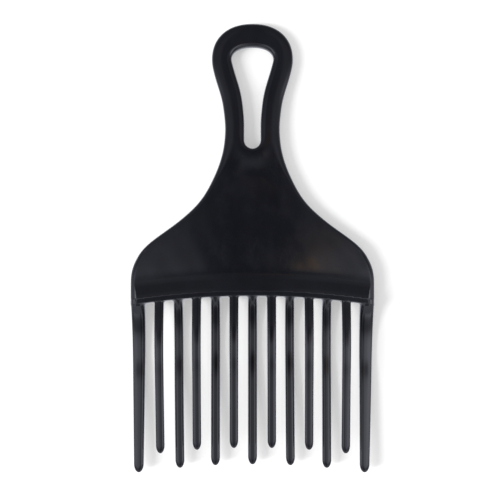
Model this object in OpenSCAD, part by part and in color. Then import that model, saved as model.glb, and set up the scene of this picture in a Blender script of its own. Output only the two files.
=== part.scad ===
// Double-row afro pick (lift comb), one moulding in plastic.
// Millimetres. The comb lies on its back: +Y runs up the handle, the teeth point to -Y, +Z is the front.
// The moulding is divided where its features meet, so that every feature is a solid of its own.
// Body frame: z = 0 is the parting plane of handle and palm, y = 0 is the middle of the length.

/* [Handle loop] */
// Outer width of the loop at its widest
loop_w = 30.6; // [28:0.2:34]
// Height of the loop above its widest point
loop_rise = 13.8; // [12:0.1:15]
// Position of the loop's widest point above the middle of the comb
loop_y = 71.4; // [70:0.1:73]
// Thickness of the loop and its two bars
handle_t = 5.6; // [5:0.1:7]
// Width of the hanging slot at its widest
slot_w = 16.1; // [14:0.1:18]
// Height of the slot above its widest point
slot_rise = 5; // [4:0.1:6]
// Width of the narrow part of the slot
slot_neck_w = 6.4; // [5.6:0.1:7]

/* [Palm] */
// Width across the shoulders
palm_w = 92.1; // [88:0.1:96]
// Thickness of the palm plate
palm_t = 3.6; // [3:0.1:4.4]
// Width of the rounded edge of the palm plate
palm_edge = 1; // [0.8:0.1:1.4]

/* [Root bar] */
// Thickness of the bar that carries both rows of teeth
root_t = 8; // [7.6:0.1:9]
// Radius of the arc that the tooth roots follow
root_r = 300; // [260:5:400]
// Position of the root line on the middle axis
root_y = -18.2; // [-19:0.1:-17.5]
// Width of the rounded side of the bar
root_edge = 1.7; // [1.2:0.1:2]
// Length of the sloping underside between the lip and the root line
lip_drop = 2.1; // [1.6:0.1:2.6]
// Slope of that underside
lip_slope = 0.3; // [0.1:0.05:0.5]

/* [Teeth] */
// Distance between neighbouring teeth, front row and back row taken together
pitch = 7.06; // [6.9:0.02:7.2]
// Width of a tooth at its root
tooth_w = 3.4; // [3:0.05:3.6]
// Depth of a tooth at its root
tooth_d = 4; // [3.6:0.1:4]
// Width of a tooth just above its rounded tip
tip_w = 3.2; // [2.6:0.05:3.4]
// Extra width of the long teeth there
long_extra = 0.2; // [0:0.05:0.3]
// Depth of a tooth just above its rounded tip
tip_d = 3; // [2.6:0.1:3.2]
// Length of a long tooth from the root line
long_l = 63.7; // [60:0.1:68]
// Length of a short tooth from the root line
short_l = 56.8; // [54:0.1:60]
// Length of the rounded tip
tip_l = 3.1; // [2.4:0.1:5]
// Width of an outer tooth at its root
outer_w = 5.15; // [4.6:0.05:5.4]
// Height of the bow of each row, at its fullest, from the parting plane
bow = 4.95; // [4.5:0.05:5.2]

/* [Hidden] */

// Half thicknesses of handle, palm plate and root bar
hh = handle_t / 2;
hp = palm_t / 2;
hr = root_t / 2;
// The slot ends in a half circle here
slot_end_y = 40.5;
slot_end_r = slot_neck_w / 2;
// Roundness of the sections: 2 is an ellipse, more is squarer
bar_e = 3;
edge_e = 2.2;
tooth_e = 3.2;
arch_e = 2.25;
// Sideways drift of each tooth at its tip, from left to right, as the moulding cooled
drift = [-0.4, 0.5, 0.45, 0.1, 0, -0.1, 0, 0.1, 0.15, 0, -0.1, -0.2, -0.1];
// The plate thickens into the root bar from this distance above the root line
rise_y = 8.7;
// Where the neck hands over to the palm plate
neck_y = 26;

// Half width of the body's outline against y, from the shoulders up to the loop
outline = [[-15, palm_w/2], [-12.5, palm_w/2], [-10, palm_w/2 - 0.25], [-7.3, palm_w/2 - 1], [-4.5, palm_w/2 - 2.2],
           [-1.7, 42.1], [1.1, 39.6], [4, 36.1], [6.8, 32.2], [9.6, 28.4], [12.5, 24.9], [15.3, 21.9], [18.2, 19.4],
           [22, 16.9], [25.7, 15], [29.5, 13.3], [33.3, 11.95], [37, 11], [40.9, 10.45], [46.6, 10.25], [50.4, 10.6],
           [56, 11.45], [59.8, 12.5], [63.6, 13.7], [67.5, 14.75], [loop_y, loop_w/2], [loop_y + 2.6, loop_w/2]];
// Half width of the slot against y
slot = [[slot_end_y - 1, slot_end_r], [slot_end_y, slot_end_r], [48.5, slot_end_r + 0.05], [52.2, 3.55], [56, 4], [59.8, 4.75],
        [63.6, 5.85], [67.4, 7], [loop_y, slot_w/2], [loop_y + 2.6, slot_w/2]];
// Distance of a tooth row's middle from the parting plane against the distance below the root line
row = [[-4, 1.4], [0, 2], [5, 3.1], [10, 4.2], [15, bow - 0.15], [19, bow], [23, bow - 0.2], [27, 4.35], [31, 4.05],
       [36, 3.8], [44, 3.5], [54, 3.25], [68, 3.05]];

function span(T, x, i = 0) = i >= len(T) - 2 || x <= T[i + 1][0] ? i : span(T, x, i + 1);
function rate(T, i) = (T[i + 1][1] - T[i][1]) / (T[i + 1][0] - T[i][0]);
function slope(T, i) = i == 0 ? rate(T, 0) : i == len(T) - 1 ? rate(T, i - 1) : (rate(T, i - 1) + rate(T, i)) / 2;
// Smooth curve through the points of a table
function curve(T, x) = let (i = span(T, x), h = T[i + 1][0] - T[i][0], t = (x - T[i][0]) / h)
    T[i][1] * (2*t*t*t - 3*t*t + 1) + slope(T, i) * h * (t*t*t - 2*t*t + t)
    + T[i + 1][1] * (3*t*t - 2*t*t*t) + slope(T, i + 1) * h * (t*t*t - t*t);
function blend(x, a, b) = let (t = max(0, min(1, (x - a) / (b - a)))) t*t*(3 - 2*t);
function power(v, e) = sign(v) * pow(abs(v), 2 / e);
// The root arc's height at x, relative to its middle
function arc(x) = sqrt(root_r*root_r - x*x) - root_r;

// Half thickness and rounding of the body against y, above the root bar
function half_t(y) = hp + (hh - hp) * blend(y, 29.3, slot_end_y + 1);
function edge_w(y) = palm_edge + ((10.4 - slot_end_r) / 2 - palm_edge) * blend(y, 24, slot_end_y);
function edge_x(y) = let (d = (curve(outline, y + 0.1) - curve(outline, y - 0.1)) / 0.2) edge_w(y) * sqrt(1 + d*d);
function edge_exp(y) = edge_e + (bar_e - edge_e) * blend(y, 24, slot_end_y);

// Closed solid through rings with equally many points
module loft(rings) {
    n = len(rings[0]);
    m = len(rings);
    polyhedron(
        points = [for (r = rings) each r],
        faces = concat(
            [[for (i = [n - 1 : -1 : 0]) i]],
            [[for (i = [0 : n - 1]) (m - 1) * n + i]],
            [for (j = [0 : m - 2], i = [0 : n - 1]) [j*n + i, j*n + (i + 1) % n, (j + 1)*n + i]],
            [for (j = [0 : m - 2], i = [0 : n - 1]) [j*n + (i + 1) % n, (j + 1)*n + (i + 1) % n, (j + 1)*n + i]]));
}
// Rounded section of n points between two edges, in x and z
function section(xa, xb, h, e, n) = [for (i = [0 : n - 1]) let (a = 360 * (i + 0.5) / n)
    [(xa + xb)/2 + (xb - xa)/2 * power(cos(a), e), h * power(sin(a), e)]];
// Section of the full width with rounded sides
function slab(w, b, h, e, n) = concat(
    [for (i = [0 : n - 1]) let (a = -90 + 180 * i / (n - 1)) [w - b + b * power(cos(a), e), h * power(sin(a), e)]],
    [for (i = [0 : n - 1]) let (a = 90 + 180 * i / (n - 1)) [-(w - b) + b * power(cos(a), e), h * power(sin(a), e)]]);

module handle_arch() {
    steps = 24;
    color("#1a1c20") loft([for (k = [0 : steps]) let (t = 180 * k / steps,
        xo = loop_w/2 * power(cos(t), arch_e), yo = loop_rise * power(sin(t), arch_e),
        xi = slot_w/2 * power(cos(t), arch_e), yi = slot_rise * power(sin(t), arch_e))
        [for (p = section(0, 1, hh, bar_e, 20)) [xi + (xo - xi) * p[0], loop_y + yi + (yo - yi) * p[0], p[1]]]]);
}

module handle_bar(side) {
    color("#1a1c20") loft([for (k = [0 : 14]) let (y = loop_y + (slot_end_y - loop_y) * k / 14,
        xi = curve(slot, y), xo = curve(outline, y))
        [for (p = section(xi, xo, hh, bar_e, 20)) side > 0 ? [p[0], y, p[1]] : [-p[0], y, -p[1]]]]);
}

module neck() {
    color("#1b1d22") difference() {
        loft([for (k = [0 : 12]) let (y = slot_end_y + (neck_y - slot_end_y) * k / 12)
            [for (p = slab(curve(outline, y), edge_x(y), half_t(y), edge_exp(y), 11)) [p[0], y, p[1]]]]);
        translate([0, slot_end_y, -root_t]) cylinder(r = slot_end_r, h = 2 * root_t, $fn = 96);
    }
}

// Everything below the seam arc, where the plate hands over to the root bar
module below_seam() {
    translate([0, root_y - root_r, -root_t]) cylinder(r = root_r + rise_y, h = 2 * root_t, $fn = 256);
}

module palm_plate() {
    color("#1c1e24") difference() {
        loft([for (k = [0 : 26]) let (y = neck_y + (-14 - neck_y) * k / 26)
            [for (p = slab(curve(outline, y), edge_x(y), half_t(y), edge_exp(y), 11)) [p[0], y, p[1]]]]);
        below_seam();
    }
}

// The bar's profile: distance from the arc's centre, and z
bar_front = [[rise_y, hp], [7.6, hp + 0.08], [6.4, hp + 0.4], [5.2, hp + 0.95], [4.2, hp + 1.5], [3.4, hr - 0.25], [2.8, hr - 0.05],
             [lip_drop, hr], [0.8, hr - lip_slope*(lip_drop - 0.8)], [0.4, hr - lip_slope*(lip_drop - 0.4) - 0.25],
             [0.15, hr - lip_slope*lip_drop - 0.7], [0, hr - lip_slope*lip_drop - 1.4]];
module bar_solid() {
    intersection() {
        translate([0, root_y - root_r, 0]) rotate([0, 0, 78]) rotate_extrude(angle = 24, $fn = 256)
            polygon(concat([for (p = bar_front) [root_r + p[0], p[1]]],
                [for (i = [len(bar_front) - 1 : -1 : 0]) [root_r + bar_front[i][0], -bar_front[i][1]]]));
        translate([0, 10, 0]) rotate([90, 0, 0]) linear_extrude(60)
            polygon(slab(palm_w/2, root_edge, hr, edge_e, 13));
    }
}

module root_bar() {
    color("#191b1f") bar_solid();
}

// Width and depth of a tooth against the distance s below the root line, l being its length
function taper(a, b, s, l) = a + (b - a) * pow(max(0, min(1, s / (0.62 * l))), 0.8);
function tip(s, l) = let (u = max(0, (s - (l - tip_l)) / tip_l)) sqrt(max(0, 1 - u*u));
// Stations along a tooth, closer together at its tip
function stations(l) = concat([-1.9, 1, 4, 8, 12, 16, 20, 24, 28, 33, 38, 44, (l - tip_l + 44) / 2],
    [for (u = [0, 0.35, 0.6, 0.8, 0.93, 0.99]) l - tip_l * (1 - u)]);

// The tooth in place n from the left (0 to 12), in the front row (front = 1) or the back row (front = -1), end_w wide at its tip, with extra width on its outer side
module tooth(n, l, front, end_w, extra = 0) {
    side = n < 6 ? -1 : 1;
    x = side * (n - 6) * pitch;
    y0 = root_y + arc(x);
    difference() {
        loft([for (s = stations(l)) let (w = taper(tooth_w, end_w, s, l) / 2, e = extra * (1 - 0.9 * max(0, s) / l),
            d = taper(tooth_d, tip_d, s, l) / 2, f = tip(s, l), dx = side * drift[n] * pow(max(0, s) / l, 1.5), xi = x + dx - w, xo = x + dx + w + e, m = x + dx + e / 2)
            [for (p = section(m + (xi - m) * f, m + (xo - m) * f, d * f, tooth_e, 14))
                side > 0 ? [p[0], y0 - s, front * curve(row, s) + p[1]] : [-p[0], y0 - s, front * curve(row, s) - p[1]]]]);
        bar_solid();
    }
}

module outer_tooth(side) {
    color("#1e2025") tooth(side < 0 ? 0 : 12, long_l, -1, tip_w + long_extra, outer_w - tooth_w);
}

module long_tooth(i) {
    color("#1e2025") tooth(2*i, long_l, -1, tip_w + long_extra);
}

module short_tooth(i) {
    color("#222429") tooth(2*i - 1, short_l, 1, tip_w);
}

// Lying on the bellies of the back row and on the end of the handle
belly_s = 19;
belly_y = root_y - belly_s;
belly_z = curve(row, belly_s) + taper(tooth_d, tip_d, belly_s, long_l) / 2;
end_y = loop_y + (loop_rise + slot_rise) / 2;
lean = atan((belly_z - hh) / (end_y - belly_y));
lift = end_y * sin(lean) + hh * cos(lean);
module at_rest() {
    translate([0, 0, lift]) rotate([-lean, 0, 0]) children();
}

at_rest() handle_arch();
at_rest() handle_bar(-1);  // handle_bar_left
at_rest() handle_bar(1);  // handle_bar_right
at_rest() neck();
at_rest() palm_plate();
at_rest() root_bar();
at_rest() outer_tooth(-1);  // outer_tooth_left
at_rest() outer_tooth(1);  // outer_tooth_right
at_rest() long_tooth(1);  // long_tooth_1
at_rest() long_tooth(2);  // long_tooth_2
at_rest() long_tooth(3);  // long_tooth_3
at_rest() long_tooth(4);  // long_tooth_4
at_rest() long_tooth(5);  // long_tooth_5
at_rest() short_tooth(1);  // short_tooth_1
at_rest() short_tooth(2);  // short_tooth_2
at_rest() short_tooth(3);  // short_tooth_3
at_rest() short_tooth(4);  // short_tooth_4
at_rest() short_tooth(5);  // short_tooth_5
at_rest() short_tooth(6);  // short_tooth_6
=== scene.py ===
import math

import bpy
import numpy as np
from mathutils import Matrix, Vector
from mathutils.geometry import tessellate_polygon


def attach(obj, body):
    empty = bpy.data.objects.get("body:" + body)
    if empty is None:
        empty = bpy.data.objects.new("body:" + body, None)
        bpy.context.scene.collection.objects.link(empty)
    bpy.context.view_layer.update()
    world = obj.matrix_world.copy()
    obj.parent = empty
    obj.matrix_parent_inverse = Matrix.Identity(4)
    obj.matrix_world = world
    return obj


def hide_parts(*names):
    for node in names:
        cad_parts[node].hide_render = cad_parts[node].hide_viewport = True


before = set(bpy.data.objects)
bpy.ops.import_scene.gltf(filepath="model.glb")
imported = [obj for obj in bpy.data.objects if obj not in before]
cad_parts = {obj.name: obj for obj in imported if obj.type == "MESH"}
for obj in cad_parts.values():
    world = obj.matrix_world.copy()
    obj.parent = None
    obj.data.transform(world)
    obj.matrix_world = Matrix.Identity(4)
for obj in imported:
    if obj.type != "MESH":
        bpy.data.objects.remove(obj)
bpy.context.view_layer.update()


# ---------------------------------------------------------------------------------------------
# Numbers of the comb, in millimetres, in its body frame: x across, y up the handle, z out of the
# front, z = 0 on the parting plane.
# ---------------------------------------------------------------------------------------------
LOOP_W, LOOP_RISE, LOOP_Y, HANDLE_T = 30.84, 13.8, 71.4, 5.6
SLOT_W, SLOT_RISE, SLOT_NECK_W, SLOT_END_Y = 15.86, 4.9, 6.16, 40.8
PALM_W, PALM_T, PALM_EDGE = 92.1, 3.6, 1.05
ROOT_T, ROOT_R, ROOT_Y, SIDE_EDGE = 8.0, 300.0, -18.2, 0.7
PITCH, TOOTH_W, TOOTH_D, TIP_W, TIP_D = 7.06, 3.48, 4.0, 3.22, 3.0
LONG_L, SHORT_L, TIP_L, OUTER_W, BOW = 63.68, 56.8, 3.1, 5.35, 4.95
ARCH_E = 2.25
LIP_R = 0.42
HH, HP, HR = HANDLE_T / 2, PALM_T / 2, ROOT_T / 2
BAR_OUT, BAR_IN = 4.4, 2.4      # how far the bars of the handle are rounded, from their outer edge and from the slot
ROOT_YC = ROOT_Y - ROOT_R
DRIFT = [-0.57, 0.67, 0.67, 0.26, 0.02, 0.02, 0, 0.06, 0.28, -0.09, -0.03, -0.4, -0.04]
START = [0, 0.15, 0.15, 0.13, 0.1, 0.09, 0.04, 0.13, 0, 0.12, -0.06, 0.02, 0.04]

OUTLINE = [(-30, 46.05), (-22, 46.05), (-15, 46.05), (-12.5, 46.04), (-10, 45.88), (-7.3, 45.26), (-4.5, 44.06),
           (-1.7, 42.37), (1.1, 39.82), (4, 36.22), (6.8, 32.32), (9.6, 28.52), (12.5, 25.02), (15.3, 22.02),
           (18.2, 19.52), (22, 17.02), (25.7, 15.12), (29.5, 13.42), (33.3, 12.07), (37, 11.12), (40.9, 10.57),
           (46.6, 10.37), (50.4, 10.72), (56, 11.57), (59.8, 12.62), (63.6, 13.82), (67.5, 14.87), (71.4, 15.42)]
SLOT = [(40.8, 3.08), (44.5, 3.08), (48.5, 3.13), (52.2, 3.43), (56, 3.88), (59.8, 4.63), (63.6, 5.73), (67.4, 6.88),
        (71.4, 7.93)]
ROW = [(-4, 1.4), (0, 2), (5, 3.1), (10, 4.2), (15, BOW - 0.15), (19, BOW), (23, BOW - 0.2), (27, 4.35), (31, 4.05),
       (36, 3.8), (44, 3.5), (54, 3.25), (68, 3.05)]
BAR = [(2.1, HR), (2.8, HR - 0.17), (3.4, HR - 0.35), (4.2, HP + 1.53), (5.2, HP + 1.03), (6.4, HP + 0.53), (7.8, HP + 0.19), (9.2, HP + 0.05), (10.8, HP + 0.005), (12.6, HP)]


class Spline:
    """Cubic spline through points, with given slopes at its ends, and straight beyond them."""

    def __init__(self, points, slope0=0.0, slope1=0.0):
        x, y = np.array(points, float).T
        n, h = len(x), np.diff(x)
        r = np.diff(y) / h
        a, b = np.zeros((n, n)), np.zeros(n)
        a[0, 0], a[0, 1], b[0] = 2 * h[0], h[0], 6 * (r[0] - slope0)
        a[-1, -1], a[-1, -2], b[-1] = 2 * h[-1], h[-1], 6 * (slope1 - r[-1])
        for i in range(1, n - 1):
            a[i, i - 1:i + 2] = h[i - 1], 2 * (h[i - 1] + h[i]), h[i]
            b[i] = 6 * (r[i] - r[i - 1])
        self.x, self.y, self.m, self.h = x, y, np.linalg.solve(a, b), h
        self.s0, self.s1 = slope0, slope1

    def __call__(self, q):
        q = np.asarray(q, float)
        p = np.clip(q, self.x[0], self.x[-1])
        i = np.clip(np.searchsorted(self.x, p) - 1, 0, len(self.h) - 1)
        h, a = self.h[i], (self.x[i + 1] - p)
        b = p - self.x[i]
        v = (self.m[i] * a ** 3 + self.m[i + 1] * b ** 3) / (6 * h) + (self.y[i] / h - self.m[i] * h / 6) * a \
            + (self.y[i + 1] / h - self.m[i + 1] * h / 6) * b
        return v + np.minimum(q - self.x[0], 0) * self.s0 + np.maximum(q - self.x[-1], 0) * self.s1


def blend(v, a, b):
    t = np.clip((v - a) / (b - a), 0, 1)
    return t * t * (3 - 2 * t)


def arc(x):
    return np.sqrt(ROOT_R * ROOT_R - x * x) - ROOT_R


def superpower(v, e):
    return np.sign(v) * np.abs(v) ** (2 / e)


outline_of, slot_of = Spline(OUTLINE, 0, 0), Spline(SLOT, 0, 0.22)
row_of, bar_of = Spline(ROW, 0.14, -0.012), Spline(BAR, -0.2, 0)


# ---------------------------------------------------------------------------------------------
# Distance to the two outlines, held in a table over the plane of the comb and read smoothly
# ---------------------------------------------------------------------------------------------
def even_spacing(p, step):
    along = np.concatenate([[0], np.cumsum(np.hypot(*np.diff(p, axis=0).T))])
    n = max(2, int(round(along[-1] / step)) + 1)
    t = np.linspace(0, along[-1], n)
    return np.stack([np.interp(t, along, p[:, 0]), np.interp(t, along, p[:, 1])], 1)


def softened(p, step, sigma):
    """The curve with its corners evened out. Its last point is on the middle line, where the curve is mirrored."""
    n = int(4 * sigma / step)
    k = np.exp(-0.5 * (np.arange(-n, n + 1) * step / sigma) ** 2)
    k /= k.sum()
    before = 2 * p[0] - p[n:0:-1]
    after = p[-2:-n - 2:-1] * [-1, 1]
    q = np.concatenate([before, p, after])
    out = np.stack([np.convolve(q[:, i], k, "valid") for i in (0, 1)], 1)
    out[-1, 0] = 0
    return out


def arch_points(half, rise):
    t = np.linspace(0, math.pi / 2, 500)
    return np.stack([half * superpower(np.cos(t), ARCH_E), LOOP_Y + rise * superpower(np.sin(t), ARCH_E)], 1)


def outer_curve(step=0.25):
    y = np.linspace(-30, LOOP_Y, 900)
    side = np.stack([outline_of(y), y], 1)
    p = even_spacing(np.concatenate([side[:-1], arch_points(LOOP_W / 2, LOOP_RISE)]), step)
    return softened(p, np.hypot(*(p[1] - p[0])), 1.1)


def slot_curve(step=0.2):
    t = np.linspace(-math.pi / 2, 0, 60)
    r = SLOT_NECK_W / 2
    low = np.stack([r * np.cos(t), SLOT_END_Y + r * np.sin(t)], 1)
    y = np.linspace(SLOT_END_Y, LOOP_Y, 400)
    side = np.stack([slot_of(y), y], 1)
    p = even_spacing(np.concatenate([low[:-1], side[:-1], arch_points(SLOT_W / 2, SLOT_RISE)]), step)
    q = softened(p, np.hypot(*(p[1] - p[0])), 0.45)
    q[0] = p[0]
    n = 8      # the foot of the slot keeps its round shape, because it isn't mirrored there
    w = np.linspace(0, 1, n)[:, None]
    q[:n] = p[:n] * (1 - w) + q[:n] * w
    return q


GRID_X, GRID_Y, GRID_STEP = -1.0, -32.0, 0.25
GRID_N = (204, 488)


def distance_table(curve, inside_left=True):
    """Signed distance to the curve, above 0 inside, on the half plane x > 0. The curve runs with the inside on its left."""
    gx = GRID_X + GRID_STEP * np.arange(GRID_N[0])
    gy = GRID_Y + GRID_STEP * np.arange(GRID_N[1])
    px, py = [v.ravel() for v in np.meshgrid(gx, gy, indexing="ij")]
    full = np.concatenate([curve, (curve * [-1, 1])[-2:-40:-1]])     # a little of the mirrored half too
    a, d = full[:-1], np.diff(full, axis=0)
    dd = (d ** 2).sum(1)
    out = np.empty(len(px))
    for i in range(0, len(px), 4096):
        x, y = px[i:i + 4096, None] - a[:, 0], py[i:i + 4096, None] - a[:, 1]
        t = np.clip((x * d[:, 0] + y * d[:, 1]) / dd, 0, 1)
        ex, ey = x - t * d[:, 0], y - t * d[:, 1]
        r = ex * ex + ey * ey
        j = r.argmin(1)
        k = np.arange(len(j))
        cross = d[j, 0] * ey[k, j] - d[j, 1] * ex[k, j]
        out[i:i + 4096] = np.sqrt(r[k, j]) * np.sign(cross)
    return (out if inside_left else -out).reshape(GRID_N)


def read_table(table, x, y):
    """Smooth (cubic) reading of a table at |x|, y."""
    u = (np.abs(x) - GRID_X) / GRID_STEP
    v = (y - GRID_Y) / GRID_STEP
    i = np.clip(np.floor(u).astype(int), 1, GRID_N[0] - 3)
    j = np.clip(np.floor(v).astype(int), 1, GRID_N[1] - 3)
    a, b = np.clip(u - i, -1, 2), np.clip(v - j, -1, 2)

    def weights(t):
        t2, t3 = t * t, t * t * t
        return (-t3 + 2 * t2 - t) / 2, (3 * t3 - 5 * t2 + 2) / 2, (-3 * t3 + 4 * t2 + t) / 2, (t3 - t2) / 2

    wx, wy = weights(a), weights(b)
    out = 0.0
    for m in range(4):
        line = 0.0
        for n in range(4):
            line = line + wy[n] * table[i + m - 1, j + n - 1]
        out = out + wx[m] * line
    return out


OUTER_TABLE = distance_table(outer_curve())
SLOT_TABLE = distance_table(slot_curve(), inside_left=False)


# ---------------------------------------------------------------------------------------------
# The shape as a field: below 0 inside the plastic, 0 on its surface, about the distance in mm near it
# ---------------------------------------------------------------------------------------------
def ripple(x, y):
    """Faint unevenness that cooling leaves in the flat plate, in mm."""
    return 0.016 * np.sin(0.23 * x + 0.5) * np.cos(0.19 * y + 0.05 * x + 1.1) \
        + 0.010 * np.sin(0.41 * y - 0.17 * x + 0.4) + 0.006 * np.sin(0.62 * x + 0.35 * y + 2.0)


# Marks of the ejector pins on the back: x, y, radius
PIN_MARKS = [(-33, -3.0, 2.0), (33, -3.0, 2.0), (-12, 6.0, 2.0), (12, 6.0, 2.0), (0, 27.5, 1.7)]


def plane_fields(x, y):
    """What the body's shape needs that doesn't depend on z."""
    q = np.hypot(x, y - ROOT_YC) - ROOT_R
    do, ds = read_table(OUTER_TABLE, x, y), read_table(SLOT_TABLE, x, y)
    ax = np.abs(x)
    wide = blend(ax, 3.0, 9.0)
    h = HP + (HH - HP) * blend(y, 26.8 - 4 * wide, 38.6 + 4 * wide) + np.where(q < 12.6, bar_of(np.minimum(q, 12.6)), HP) - HP
    lip = np.maximum(0, 2.1 - q)
    h = np.where(q < 2.1, HR - 0.30 * lip ** 2 / (lip + 0.15), h)
    # Down the sides of the lower palm a slanting edge of its own, against which the root bar ends in a step
    step = do - 1.7 + np.sqrt((do - 1.7) ** 2 + 0.03)
    over = h - 0.72 - 0.8 * do - 0.9 * step
    h = np.maximum(h - 0.5 * (over + np.sqrt(over ** 2 + 0.012)) * (1 - blend(y, -5, 0)), 0.4)
    h = h + ripple(x, y) * blend(do, 1.5, 6) * blend(q, 6, 10) * (1 - blend(y, 24, 32))
    eo = PALM_EDGE + (BAR_OUT - PALM_EDGE) * blend(y, 23, 42) + (SIDE_EDGE - PALM_EDGE) * (1 - blend(y, -6, 2))
    es = 1.25 + (BAR_IN - 1.25) * blend(y, 37.5, 43.5)
    n = 2.2 + 1.0 * blend(y, 24, 40) - 0.2 * (1 - blend(q, 2, 6))
    uo, us, ur = np.maximum(0, 1 - do / eo), np.maximum(0, 1 - ds / es), np.maximum(0, 1 - (q + 0.1) / LIP_R)
    p = 4.0
    u = (uo ** p + us ** p + ur ** p + 1e-30) ** (1 / p)
    gu = np.sqrt(((uo / u) ** (p - 1) / eo) ** 2 + ((us / u) ** (p - 1) / es) ** 2 + ((ur / u) ** (p - 1) / LIP_R) ** 2)
    mark = np.zeros_like(q)
    for mx, my, mr in PIN_MARKS:
        r = np.hypot(x - mx, y - my)
        mark = mark + 0.11 * (1 - blend(r, mr - 0.25, mr + 0.25))
    return h, n, u, gu, mark


def body_field(h, n, u, gu, mark, z):
    h = np.where(z < 0, h - mark, h)
    v = np.abs(z) / h
    big = (u ** n + v ** n + 1e-30) ** (1 / n)
    slope = np.sqrt(((u / big) ** (n - 1) * gu) ** 2 + ((v / big) ** (n - 1) / h) ** 2)
    return (big - 1) / np.maximum(slope, 1e-3)


class Tooth:
    def __init__(self, n):
        self.n = n
        self.front = 1 if n % 2 else -1
        self.l = SHORT_L if n % 2 else LONG_L
        self.side = -1 if n < 6 else 1
        self.x = (n - 6) * PITCH + START[n]
        self.extra = OUTER_W - TOOTH_W if n in (0, 12) else 0.0
        self.tip_w = TIP_W if n % 2 else TIP_W + 0.18
        self.y0 = ROOT_Y + arc(self.x)
        self.name = "outer_tooth_left" if n == 0 else "outer_tooth_right" if n == 12 else \
            f"short_tooth_{(n + 1) // 2}" if n % 2 else f"long_tooth_{n // 2}"

    def middle(self, s):
        sp = np.maximum(s, 0)
        e = self.extra * (1 - 0.9 * np.minimum(sp / self.l, 1.05))
        z = row_of(s) - (0.5 * (1 - blend(s, 0, 7)) if self.front > 0 else 0)      # the front row starts level with the lip
        return self.x + DRIFT[self.n] * (sp / self.l) ** 1.5 + self.side * e / 2, self.front * z, e

    def box(self, pad=3.4):
        """Lowest and highest x and y, and z, that the tooth's field is needed in."""
        return (self.x - self.extra - 1.9 - pad, self.x + self.extra + 1.9 + pad, self.y0 - self.l - 1.5, self.y0 + 2.6)

    def field(self, x, y, z):
        s = self.y0 - y
        xc, zc, e = self.middle(s)
        t = np.clip(s / (0.62 * self.l), 0, 1) ** 0.8
        w = (TOOTH_W + (self.tip_w - TOOTH_W) * t) / 2 + e / 2
        d = (TOOTH_D + (TIP_D - TOOTH_D) * t) / 2
        # At its root the inner side widens to the lip in a plain slanting face
        low = (3.1 if self.extra else 2.6) - np.maximum(s, 0.15)
        rate, soft = (0.4, 2.6) if self.extra else (0.55, 1.15)
        r = np.sqrt(low ** 2 + soft ** 2)
        inner = (z - zc) * self.front < 0
        lean = np.where(inner & (s > 0.15), rate * (1 + low / r), 0)
        d = d + np.where(inner, rate * (low + r), 0)
        u = np.maximum(0, (s - (self.l - TIP_L)) / TIP_L)
        ex = 3.8
        # The tip is round as seen from the front, and keeps its thickness nearly to its end
        across, b = np.abs(x - xc) / w, np.abs(z - zc) / d
        a = np.sqrt(across * across + u * u + 1e-12)
        big = (a ** ex + b ** ex + 1e-30) ** (1 / ex)
        ga = np.sqrt((across / w) ** 2 + (u / TIP_L) ** 2) / a
        g = np.sqrt(((a / big) ** (ex - 1) * ga) ** 2 + ((b / big) ** (ex - 1) / d) ** 2 * (1 + (b * lean) ** 2))
        f = (big - 1) / np.maximum(g, 1e-3)
        f = np.maximum(f, -(s + 2.0))
        # How far the tooth runs into the body as it meets it
        k = (0.3 + 0.6 * np.clip(-self.front * (z - zc) - 1.2, 0, 1)) * blend(s, -2.0, -0.9)
        if self.extra:      # the outer teeth keep a small step on their outer side
            k = k * (1 - 0.75 * blend(self.side * (x - xc) / w, 0.35, 0.9))
        return f, k + 0 * f


TEETH = [Tooth(n) for n in range(13)]


def smooth_min(a, b, k):
    k = np.maximum(k, 1e-4)
    h = np.maximum(k - np.abs(a - b), 0)
    return np.minimum(a, b) - h * h / (4 * k)


def field(p):
    """The comb's field at points (n, 3)."""
    x, y, z = p.T
    f = body_field(*plane_fields(x, y), z)
    for t in TEETH:
        x0, x1, y0, y1 = t.box()
        m = np.nonzero((x > x0) & (x < x1) & (y > y0) & (y < y1))[0]
        if len(m):
            g, k = t.field(x[m], y[m], z[m])
            f[m] = smooth_min(f[m], g, k)
    return f


def gradient(p, h=0.02):
    """Its gradient, from four points round each."""
    k = np.array([(1, -1, -1), (-1, -1, 1), (-1, 1, -1), (1, 1, 1)], float)
    g = 0.0
    for d in k:
        g = g + d * field(p + h * d)[:, None]
    return g / (4 * h)


def lattice(step):
    xs, ys, zs = np.arange(-48.3, 48.3 + step, step), np.arange(-85.9, 87.6, step), np.arange(-8.3, 8.3 + step, step)
    gx, gy = np.meshgrid(xs, ys, indexing="ij")
    parts = [v[:, :, None] for v in plane_fields(gx, gy)]
    f = np.empty((len(xs), len(ys), len(zs)), np.float32)
    for i in range(0, len(xs), 32):
        cut = [v[i:i + 32] for v in parts]
        f[i:i + 32] = body_field(*cut, zs[None, None, :])
    for t in TEETH:
        x0, x1, y0, y1 = t.box()
        i0, i1, j0, j1 = *np.searchsorted(xs, (x0, x1)), *np.searchsorted(ys, (y0, y1))
        g, k = t.field(xs[i0:i1, None, None], ys[None, j0:j1, None], zs[None, None, :])
        f[i0:i1, j0:j1] = smooth_min(f[i0:i1, j0:j1], g, k)
    return f, xs, ys, zs


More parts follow.
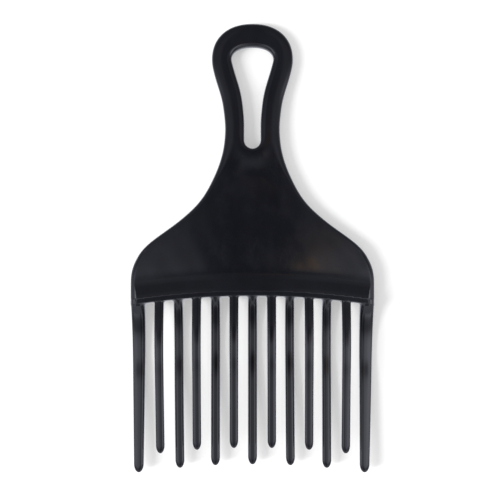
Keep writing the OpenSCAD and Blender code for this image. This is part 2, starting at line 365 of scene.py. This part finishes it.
def surface_net(f, xs, ys, zs):
    """Vertices and four-sided faces of the surface f = 0: one vertex in each cell that the surface crosses."""
    s = f < 0
    n = [c - 1 for c in f.shape]
    corner = lambda a, i, j, k: a[i:i + n[0], j:j + n[1], k:k + n[2]]
    count = sum(corner(s, i, j, k).astype(np.int8) for i in (0, 1) for j in (0, 1) for k in (0, 1))
    cells = np.argwhere((count > 0) & (count < 8))
    index = -np.ones(n, np.int64)
    index[tuple(cells.T)] = np.arange(len(cells))
    step = xs[1] - xs[0]
    total, number = np.zeros((len(cells), 3)), np.zeros(len(cells))
    for axis in range(3):
        others = [a for a in range(3) if a != axis]
        for i in (0, 1):
            for j in (0, 1):
                a = cells.copy()
                a[:, others[0]] += i
                a[:, others[1]] += j
                b = a.copy()
                b[:, axis] += 1
                fa, fb = f[tuple(a.T)].astype(float), f[tuple(b.T)].astype(float)
                m = (fa < 0) != (fb < 0)
                t = np.where(m, fa / np.where(m, fa - fb, 1), 0)
                q = a.astype(float)
                q[:, axis] += t
                total[m] += q[m]
                number[m] += 1
    verts = total / number[:, None] * step + [xs[0], ys[0], zs[0]]
    quads = []
    for axis in range(3):
        others = [a for a in range(3) if a != axis]
        lo = [slice(1, -1)] * 3
        lo[axis] = slice(0, -1)
        hi = list(lo)
        hi[axis] = slice(1, None)
        sa, sb = s[tuple(lo)], s[tuple(hi)]
        at = np.argwhere(sa != sb)
        outwards = sa[tuple(at.T)]
        for a in others:
            at[:, a] += 1
        ring = []
        for i, j in ((-1, -1), (0, -1), (0, 0), (-1, 0)):
            c = at.copy()
            c[:, others[0]] += i
            c[:, others[1]] += j
            ring.append(index[tuple(c.T)])
        q = np.stack(ring, 1)
        flip = outwards != (axis != 1)
        q[flip] = q[flip][:, ::-1]
        quads.append(q)
    return verts, np.concatenate(quads)


def project(p, times=3, reach=0.3):
    for _ in range(times):
        f, g = field(p), gradient(p)
        step = -f[:, None] * g / np.maximum((g * g).sum(1), 1e-6)[:, None]
        size = np.linalg.norm(step, axis=1, keepdims=True)
        p = p + step * np.minimum(1, reach / np.maximum(size, 1e-9))
    return p


def relax(p, quads, times=3):
    """Evens out the mesh along the surface."""
    a = np.concatenate([quads[:, i] for i in range(4)])
    b = np.concatenate([quads[:, (i + 1) % 4] for i in range(4)])
    n = len(p)
    number = np.bincount(a, minlength=n) + np.bincount(b, minlength=n)
    for _ in range(times):
        mean = np.stack([np.bincount(a, p[b, i], n) + np.bincount(b, p[a, i], n) for i in range(3)], 1) / number[:, None]
        g = gradient(p)
        g /= np.linalg.norm(g, axis=1, keepdims=True)
        d = mean - p
        d -= g * (d * g).sum(1)[:, None]
        p = project(p + 0.6 * d, 1)
    return p


# ---------------------------------------------------------------------------------------------
# The pieces: the surface is cut where the features of the moulding meet, and each is closed there
# ---------------------------------------------------------------------------------------------
STEP = 0.4
CUTS = {"arch": LOOP_Y, "bars": 40.44, "neck": 26.0, "palm": 8.7, "teeth": -0.35}     # the first three in y, the others in q


def cut_value(name, p):
    if name in ("palm", "teeth"):
        return np.hypot(p[:, 0], p[:, 1] - ROOT_YC) - ROOT_R - CUTS[name]
    return p[:, 1] - CUTS[name]


def onto_cut(name, p, times=4):
    """Moves points onto the line where a cut meets the surface."""
    for _ in range(times):
        g = gradient(p)
        g /= np.linalg.norm(g, axis=1, keepdims=True)
        d = cut_value(name, p)
        a = np.zeros_like(p)
        if name in ("palm", "teeth"):
            a[:, 0], a[:, 1] = p[:, 0], p[:, 1] - ROOT_YC
            a /= np.linalg.norm(a, axis=1, keepdims=True)
        else:
            a[:, 1] = 1
        t = a - g * (a * g).sum(1)[:, None]
        p = p - t * (d / np.maximum((t * t).sum(1), 0.05))[:, None]
        p = project(p, 1)
    if name in ("palm", "teeth"):
        p[:, 1] = ROOT_YC + np.sqrt((ROOT_R + CUTS[name]) ** 2 - p[:, 0] ** 2)
    else:
        p[:, 1] = CUTS[name]
    return p


def divide(verts, faces, name):
    """Cuts the faces along a cut. Returns the points, the faces above it and those below."""
    d = cut_value(name, verts)
    used = np.unique(np.concatenate([f for f in faces]))
    near = used[np.abs(d[used]) < 0.3 * STEP]
    verts = verts.copy()
    verts[near] = onto_cut(name, verts[near])
    d[near] = 0
    ends, wanted, above, below = {}, [], [], []

    def between(i, j):
        key = (i, j) if i < j else (j, i)
        if key not in ends:
            ends[key] = len(verts) + len(wanted)
            t = d[key[0]] / (d[key[0]] - d[key[1]])
            wanted.append(verts[key[0]] * (1 - t) + verts[key[1]] * t)
        return ends[key]

    for f in faces:
        s = [d[i] for i in f]
        if min(s) >= 0:
            above.append(f)
            continue
        if max(s) <= 0:
            below.append(f)
            continue
        up, down = [], []
        for k, i in enumerate(f):
            j, a, b = f[(k + 1) % len(f)], s[k], s[(k + 1) % len(f)]
            if a >= 0:
                up.append(i)
            if a <= 0:
                down.append(i)
            if a * b < 0:
                m = between(i, j)
                up.append(m)
                down.append(m)
        if len(up) > 2:
            above.append(up)
        if len(down) > 2:
            below.append(down)
    if wanted:
        verts = np.concatenate([verts, onto_cut(name, np.array(wanted))])
    return verts, above, below


def groups(faces):
    """Faces that hang together."""
    parent = {}

    def root(i):
        while parent.setdefault(i, i) != i:
            parent[i] = parent[parent[i]]
            i = parent[i]
        return i

    for f in faces:
        a = root(f[0])
        for i in f[1:]:
            b = root(i)
            if a != b:
                parent[b] = a
    out = {}
    for f in faces:
        out.setdefault(root(f[0]), []).append(f)
    return list(out.values())


def open_loops(faces):
    """The open edges of the faces, chained, in the direction that a closing face needs."""
    edges = set()
    for f in faces:
        for k, i in enumerate(f):
            edges.add((i, f[(k + 1) % len(f)]))
    after = {b: a for a, b in edges if (b, a) not in edges}
    loops = []
    while after:
        start, i = next(iter(after.items()))
        loop = [start]
        del after[start]
        while i != start:
            loop.append(i)
            i = after.pop(i)
        loops.append(loop)
    return loops


def closing_faces(verts, loop):
    # The crown keeps points in a straight row from losing their triangles
    flat = [Vector((verts[i][0], verts[i][2] * (1.3 - verts[i][0] ** 2 * 1e-4), 0)) for i in loop]
    turn = sum(a.x * b.y - b.x * a.y for a, b in zip(flat, flat[1:] + flat[:1]))
    triangles = tessellate_polygon([flat])
    area = sum((flat[b] - flat[a]).cross(flat[c] - flat[a]).z for a, b, c in triangles)
    return [[loop[i] for i in (t if area * turn > 0 else t[::-1])] for t in triangles]


def make_surface():
    f, xs, ys, zs = lattice(STEP)
    verts, quads = surface_net(f, xs, ys, zs)
    verts = relax(project(verts), quads)
    faces, out = quads.tolist(), {}
    verts, out["handle_arch"], rest = divide(verts, faces, "arch")
    verts, bars, rest = divide(verts, rest, "bars")
    verts, out["neck"], rest = divide(verts, rest, "neck")
    verts, out["palm_plate"], rest = divide(verts, rest, "palm")
    verts, out["root_bar"], teeth = divide(verts, rest, "teeth")
    for g in groups(bars):
        out["handle_bar_left" if verts[g[0][0], 0] < 0 else "handle_bar_right"] = g
    for g in groups(teeth):
        x = verts[g[0][0], 0]
        out[min(TEETH, key=lambda t: abs(t.x - x)).name] = g
    return verts, out


# How the comb lies: on the bellies of its back row and on the end of its handle
BELLY_S = 19.0
BELLY_Y = ROOT_Y - BELLY_S
BELLY_Z = float(row_of(BELLY_S)) + (TOOTH_D + (TIP_D - TOOTH_D) * (BELLY_S / (0.62 * LONG_L)) ** 0.8) / 2
END_Y = LOOP_Y + (LOOP_RISE + SLOT_RISE) / 2
LEAN = math.atan((BELLY_Z - HH) / (END_Y - BELLY_Y))
LIFT = END_Y * math.sin(LEAN) + HH * math.cos(LEAN)


def at_rest(p):
    c, s = math.cos(LEAN), math.sin(LEAN)
    return np.stack([p[:, 0], p[:, 1] * c + p[:, 2] * s, -p[:, 1] * s + p[:, 2] * c + LIFT], 1) / 1000


def turned(n):
    c, s = math.cos(LEAN), math.sin(LEAN)
    return np.stack([n[:, 0], n[:, 1] * c + n[:, 2] * s, -n[:, 1] * s + n[:, 2] * c], 1)


def make_piece(name, verts, faces, material):
    caps = [c for loop in open_loops(faces) for c in closing_faces(verts, loop)]
    used, inverse = np.unique(np.concatenate([np.array(f) for f in faces]), return_inverse=True)
    number = {int(u): k for k, u in enumerate(used)}
    p = verts[used]
    n = gradient(p)
    n /= np.linalg.norm(n, axis=1, keepdims=True)
    shade = turned(n)
    place = at_rest(p)
    polys = [[number[i] for i in f] for f in faces + caps]
    mesh = bpy.data.meshes.new(name)
    mesh.from_pydata(place.tolist(), [], polys)
    normals = np.concatenate([shade[[i for f in polys[:len(faces)] for i in f]]] + [
        np.tile(np.array(m.normal), (len(c), 1)) for m, c in zip(list(mesh.polygons)[len(faces):], polys[len(faces):])])
    mesh.polygons.foreach_set("use_smooth", [True] * len(polys))
    mesh.normals_split_custom_set(normals.tolist())
    mesh.validate()
    mesh.materials.append(material)
    piece = bpy.data.objects.new(name, mesh)
    bpy.context.scene.collection.objects.link(piece)
    return piece


# ---------------------------------------------------------------------------------------------
# Node trees, written as sums
# ---------------------------------------------------------------------------------------------
class Value:
    """A number in a node tree. Python's arithmetic on it makes Math nodes."""

    def __init__(self, tree, socket):
        self.tree, self.socket = tree, socket

    def _math(self, operation, *others, clamp=False):
        node = self.tree.nodes.new("ShaderNodeMath")
        node.operation, node.use_clamp = operation, clamp
        for i, v in enumerate((self,) + others):
            if isinstance(v, Value):
                self.tree.links.new(v.socket, node.inputs[i])
            else:
                node.inputs[i].default_value = v
        return Value(self.tree, node.outputs[0])

    def __add__(self, v): return self._math("ADD", v)
    def __sub__(self, v): return self._math("SUBTRACT", v)
    def __mul__(self, v): return self._math("MULTIPLY", v)
    def __truediv__(self, v): return self._math("DIVIDE", v)
    def __rsub__(self, v): return (self * -1.0) + v
    __radd__, __rmul__ = __add__, __mul__
    def abs(self): return self._math("ABSOLUTE")
    def least(self, v): return self._math("MINIMUM", v)
    def most(self, v): return self._math("MAXIMUM", v)
    def power(self, v): return self._math("POWER", v)

    def step(self, a, b, low=0.0, high=1.0):
        """Smoothly from low at a to high at b."""
        node = self.tree.nodes.new("ShaderNodeMapRange")
        node.interpolation_type = "SMOOTHSTEP"
        if a > b:
            a, b, low, high = b, a, high, low
        for k, v in enumerate((None, a, b, low, high)):
            if v is not None:
                node.inputs[k].default_value = v
        self.tree.links.new(self.socket, node.inputs[0])
        return Value(self.tree, node.outputs[0])

    def into(self, socket):
        self.tree.links.new(self.socket, socket)


def axes_of(tree, socket):
    node = tree.nodes.new("ShaderNodeSeparateXYZ")
    tree.links.new(socket, node.inputs[0])
    return [Value(tree, node.outputs[i]) for i in range(3)]


def placed(tree, socket, scale=(1, 1, 1), turn=(0, 0, 0), move=(0, 0, 0)):
    node = tree.nodes.new("ShaderNodeMapping")
    node.inputs["Scale"].default_value = scale
    node.inputs["Rotation"].default_value = turn
    node.inputs["Location"].default_value = move
    tree.links.new(socket, node.inputs["Vector"])
    return node.outputs[0]


def noise(tree, socket, scale=1.0, detail=2.0, rough=0.5, warp=0.0):
    node = tree.nodes.new("ShaderNodeTexNoise")
    node.inputs["Scale"].default_value = scale
    node.inputs["Detail"].default_value = detail
    node.inputs["Roughness"].default_value = rough
    node.inputs["Distortion"].default_value = warp
    tree.links.new(socket, node.inputs["Vector"])
    return Value(tree, node.outputs["Fac"])


def black_plastic():
    m = bpy.data.materials.new("black_plastic")
    m.use_nodes = True
    t = m.node_tree
    t.nodes.clear()
    out, bsdf = t.nodes.new("ShaderNodeOutputMaterial"), t.nodes.new("ShaderNodeBsdfPrincipled")
    t.links.new(bsdf.outputs[0], out.inputs[0])
    where = t.nodes.new("ShaderNodeTexCoord").outputs["Object"]
    mm = placed(t, where, scale=(1000, 1000, 1000))

    # Fine rubbing: short hair-thin scratches in two directions, in patches
    def scratches(angle, seed, fine):
        p = placed(t, placed(t, mm, turn=(0, 0, angle), move=seed), scale=(fine, 0.11, fine))
        return noise(t, p, 1.0, 1.5, 0.5, 0.25).step(0.60, 0.72)

    patches = noise(t, placed(t, mm, move=(31, 7, 3)), 0.11, 3.0, 0.55, 0.4)
    rubbed = patches.step(0.42, 0.66)
    lines = scratches(0.35, (3, 11, 5), 5.0).most(scratches(-0.22, (17, 2, 9), 6.5)) * (0.25 + rubbed * 0.75)
    smears = noise(t, placed(t, mm, scale=(1, 0.55, 1), move=(5, 40, 2)), 0.22, 4.0, 0.6, 0.6)
    grain = noise(t, mm, 7.0, 2.0, 0.6)

    # Colour: nearly black, a little blue, faintly greyer where the plastic flowed together and where it is rubbed
    shade = (noise(t, placed(t, mm, scale=(1, 0.3, 1), move=(9, 1, 22)), 0.16, 3.0, 0.5, 0.8).step(0.3, 0.7) * 0.22 + 0.88) \
        + rubbed * 0.10 + lines * 0.08 + (grain - 0.5) * 0.2
    colour = t.nodes.new("ShaderNodeCombineColor")
    for i, v in enumerate(BASE):
        (shade * v).into(colour.inputs[i])
    t.links.new(colour.outputs[0], bsdf.inputs["Base Color"])

    rough = 0.08 + smears.step(0.3, 0.75) * 0.05 + rubbed * 0.03 + lines * 0.045 + (grain - 0.5) * 0.03
    rough.into(bsdf.inputs["Roughness"])
    bsdf.inputs["IOR"].default_value = 1.5
    bsdf.inputs["Specular IOR Level"].default_value = 0.5

    # Height in mm: orange peel, sink, scratches, and the fine line where the halves of the mould met
    x, y, z = axes_of(t, mm)
    depth = (y * math.sin(LEAN)) + (z - LIFT) * math.cos(LEAN)
    seam = depth.abs().step(0.11, 0.02) * (noise(t, mm, 0.35, 2.0).step(0.35, 0.6) * 0.5 + 0.5)
    height = noise(t, mm, 0.75, 2.0, 0.5) * 0.0022 + noise(t, placed(t, mm, scale=(1, 0.4, 1)), 0.2, 1.0) * 0.010 \
        + grain * 0.00012 + seam * 0.012 - lines * 0.0004
    bump = t.nodes.new("ShaderNodeBump")
    bump.inputs["Strength"].default_value = 1.0
    bump.inputs["Distance"].default_value = 0.001
    height.into(bump.inputs["Height"])
    t.links.new(bump.outputs[0], bsdf.inputs["Normal"])
    return m


BASE = (0.0033, 0.0036, 0.0056)
plastic = black_plastic()
verts, features = make_surface()
for name, faces in features.items():
    piece = make_piece("plastic_" + name, verts, faces, plastic)
    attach(piece, "root")
    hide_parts(name)

# ---------------------------------------------------------------------------------------------
# Floor, light and camera
# ---------------------------------------------------------------------------------------------
def white_floor():
    m = bpy.data.materials.new("floor_white")
    m.use_nodes = True
    t = m.node_tree
    b = t.nodes["Principled BSDF"]
    b.inputs["Base Color"].default_value = (0.62, 0.62, 0.62, 1)
    b.inputs["Roughness"].default_value = 0.9
    b.inputs["Specular IOR Level"].default_value = 0.0
    b.inputs["Emission Color"].default_value = (1, 1, 1, 1)
    b.inputs["Emission Strength"].default_value = 0.34
    plain, mix = t.nodes.new("ShaderNodeEmission"), t.nodes.new("ShaderNodeMixShader")
    plain.inputs["Strength"].default_value = 0.74
    plain.inputs["Color"].default_value = (0.975, 0.995, 1.12, 1)
    t.links.new(t.nodes.new("ShaderNodeLightPath").outputs["Is Glossy Ray"], mix.inputs[0])
    t.links.new(b.outputs[0], mix.inputs[1])
    t.links.new(plain.outputs[0], mix.inputs[2])
    t.links.new(mix.outputs[0], t.nodes["Material Output"].inputs[0])
    m.cycles.emission_sampling = "NONE"
    return m


def studio_tent():
    """The light of the gloss: a long white arch over the comb, lit from both sides, dark where the camera looks in."""
    m = bpy.data.materials.new("tent_light")
    m.use_nodes = True
    t = m.node_tree
    t.nodes.clear()
    shine = t.nodes.new("ShaderNodeEmission")
    t.links.new(shine.outputs[0], t.nodes.new("ShaderNodeOutputMaterial").inputs[0])
    x, y, z = axes_of(t, t.nodes.new("ShaderNodeTexCoord").outputs["Object"])
    turn = x.abs()._math("ARCTAN2", z)
    right = x.step(-0.06, 0.06)
    side = turn.step(0.16, 0.46)
    near = 0.53 + turn.step(0.05, 0.30, 0.0, 1.5) + turn.step(0.45, 0.75, 0.0, 0.1) - turn.step(0.95, 1.3, 0.0, 1.2)
    near = near + turn.step(0.18, 0.02, 0.0, 0.22) * y.step(-0.012, -0.03) * y.step(-0.125, -0.095)
    near = near * (0.87 + right * 0.22) * (y.step(-0.19, -0.085, 0.3, 1.0) + y.step(-0.21, -0.42, 0.0, 0.42))
    far = 0.085 + turn.step(0.045, 0.13, 0.0, 0.16) * y.step(0.28, 0.14, 0.4, 1.0) + y.step(0.05, 0.08, 0.0, 0.07) \
        + turn.step(0.07, 0.12, 0.0, 0.12) * y.step(0.03, 0.005) + turn.step(0.10, 0.22, 0.0, 0.11) * y.step(0.14, 0.07)
    lit = side * y.step(0.085, -0.04) + (1 - side) * y.step(0.015, -0.035)
    palm = y.step(-0.033, -0.022) * y.step(0.034, 0.012) * (
        x.step(0.025, 0.034) * x.step(0.068, 0.057) * 0.27 + x.step(-0.026, -0.036) * x.step(-0.066, -0.056) * 0.12)
    (far + (near - far) * lit + palm).into(shine.inputs["Strength"])
    warm = x.step(0.027, 0.032) * x.step(0.046, 0.042) * y.step(-0.004, 0.001) * y.step(0.017, 0.012) \
        + x.step(0.033, 0.038) * x.step(0.055, 0.049) * y.step(0.018, 0.021) * y.step(0.030, 0.026) * 0.6 \
        + x.step(-0.004, 0.004) * x.step(0.034, 0.024) * y.step(0.060, 0.068) * y.step(0.10, 0.09) * 0.8
    tint = t.nodes.new("ShaderNodeCombineColor")
    for i, (v, w) in enumerate(((0.975, 0.95), (0.995, 0.28), (1.12, -0.36))):
        (warm * w + v).into(tint.inputs[i])
    t.links.new(tint.outputs[0], shine.inputs["Color"])
    m.cycles.emission_sampling = "NONE"
    return m


TENT, TENT_END = 0.34, 0.5
verts_, faces_, across_, along_ = [], [], 48, 20
for i in range(across_ + 1):
    a = math.pi * i / across_
    for j in range(along_ + 1):
        verts_.append((-TENT * math.cos(a), TENT_END * (2 * j / along_ - 1), TENT * math.sin(a) - 0.002))
for i in range(across_):
    for j in range(along_):
        k = i * (along_ + 1) + j
        faces_.append((k, k + 1, k + along_ + 2, k + along_ + 1))
mesh = bpy.data.meshes.new("tent")
mesh.from_pydata(verts_, [], faces_)
mesh.materials.append(studio_tent())
tent = bpy.data.objects.new("tent", mesh)
bpy.context.scene.collection.objects.link(tent)
tent.visible_camera = tent.visible_diffuse = tent.visible_transmission = tent.visible_volume_scatter = tent.visible_shadow = False

n, size = 24, 1.5
ring = [(size * math.cos(2 * math.pi * i / n), size * math.sin(2 * math.pi * i / n), 0.0) for i in range(n)]
mesh = bpy.data.meshes.new("floor")
mesh.from_pydata(ring, [], [list(range(n))])
mesh.materials.append(white_floor())
floor = bpy.data.objects.new("floor", mesh)
bpy.context.scene.collection.objects.link(floor)


def direction(azimuth, elevation):
    a, e = math.radians(azimuth), math.radians(elevation)
    return Vector((math.cos(a) * math.cos(e), math.sin(a) * math.cos(e), math.sin(e)))


def area_light(name, azimuth, elevation, distance, wide, tall, watts, colour=(1, 1, 1), glossy=False):
    lamp = bpy.data.lights.new(name, "AREA")
    lamp.shape, lamp.energy, lamp.color = "RECTANGLE", watts, colour
    lamp.size = 2 * distance * math.tan(math.radians(wide / 2))
    lamp.size_y = 2 * distance * math.tan(math.radians(tall / 2))
    o = bpy.data.objects.new(name, lamp)
    d = direction(azimuth, elevation)
    o.location = d * distance
    o.rotation_euler = (-d).to_track_quat("-Z", "Y").to_euler()
    o.visible_glossy, o.visible_camera = glossy, False
    bpy.context.scene.collection.objects.link(o)
    return o


# The key light stands on the left. It makes the soft shadow on the right, and the plastic doesn't mirror it.
area_light("key", 192, 41, 4.0, 14, 32, 175.0)

world = bpy.data.worlds.new("studio")
bpy.context.scene.world = world
world.use_nodes = True
world.cycles.sampling_method = "NONE"
t = world.node_tree
t.nodes.clear()
back = t.nodes.new("ShaderNodeBackground")
t.links.new(back.outputs[0], t.nodes.new("ShaderNodeOutputWorld").inputs[0])
ray = t.nodes.new("ShaderNodeLightPath")
camera_ray, shiny_ray = Value(t, ray.outputs["Is Camera Ray"]), Value(t, ray.outputs["Is Glossy Ray"])
dx, dy, dz = axes_of(t, t.nodes.new("ShaderNodeTexCoord").outputs["Generated"])

# What the gloss sees past the ends of the tent: a white wall on the near side and a dim room on the far side
gloss = dy.step(-0.35, 0.25, 0.85, 0.17)
light = camera_ray + (1 - camera_ray) * (shiny_ray * gloss + (1 - shiny_ray) * 0.78)
light.into(back.inputs["Strength"])
tint = t.nodes.new("ShaderNodeCombineColor")
for i, v in enumerate((-0.025, -0.005, 0.12)):
    (shiny_ray * v + 1.0).into(tint.inputs[i])
t.links.new(tint.outputs[0], back.inputs["Color"])

camera = bpy.data.cameras.new("camera")
camera.sensor_width, camera.lens = 36, 103.55
camera.clip_start, camera.clip_end = 0.02, 20
eye = bpy.data.objects.new("camera", camera)
eye.location = (-0.00093, -0.00076, 0.550)
bpy.context.scene.collection.objects.link(eye)
bpy.context.scene.camera = eye
bpy.context.scene.view_settings.view_transform = "Standard"
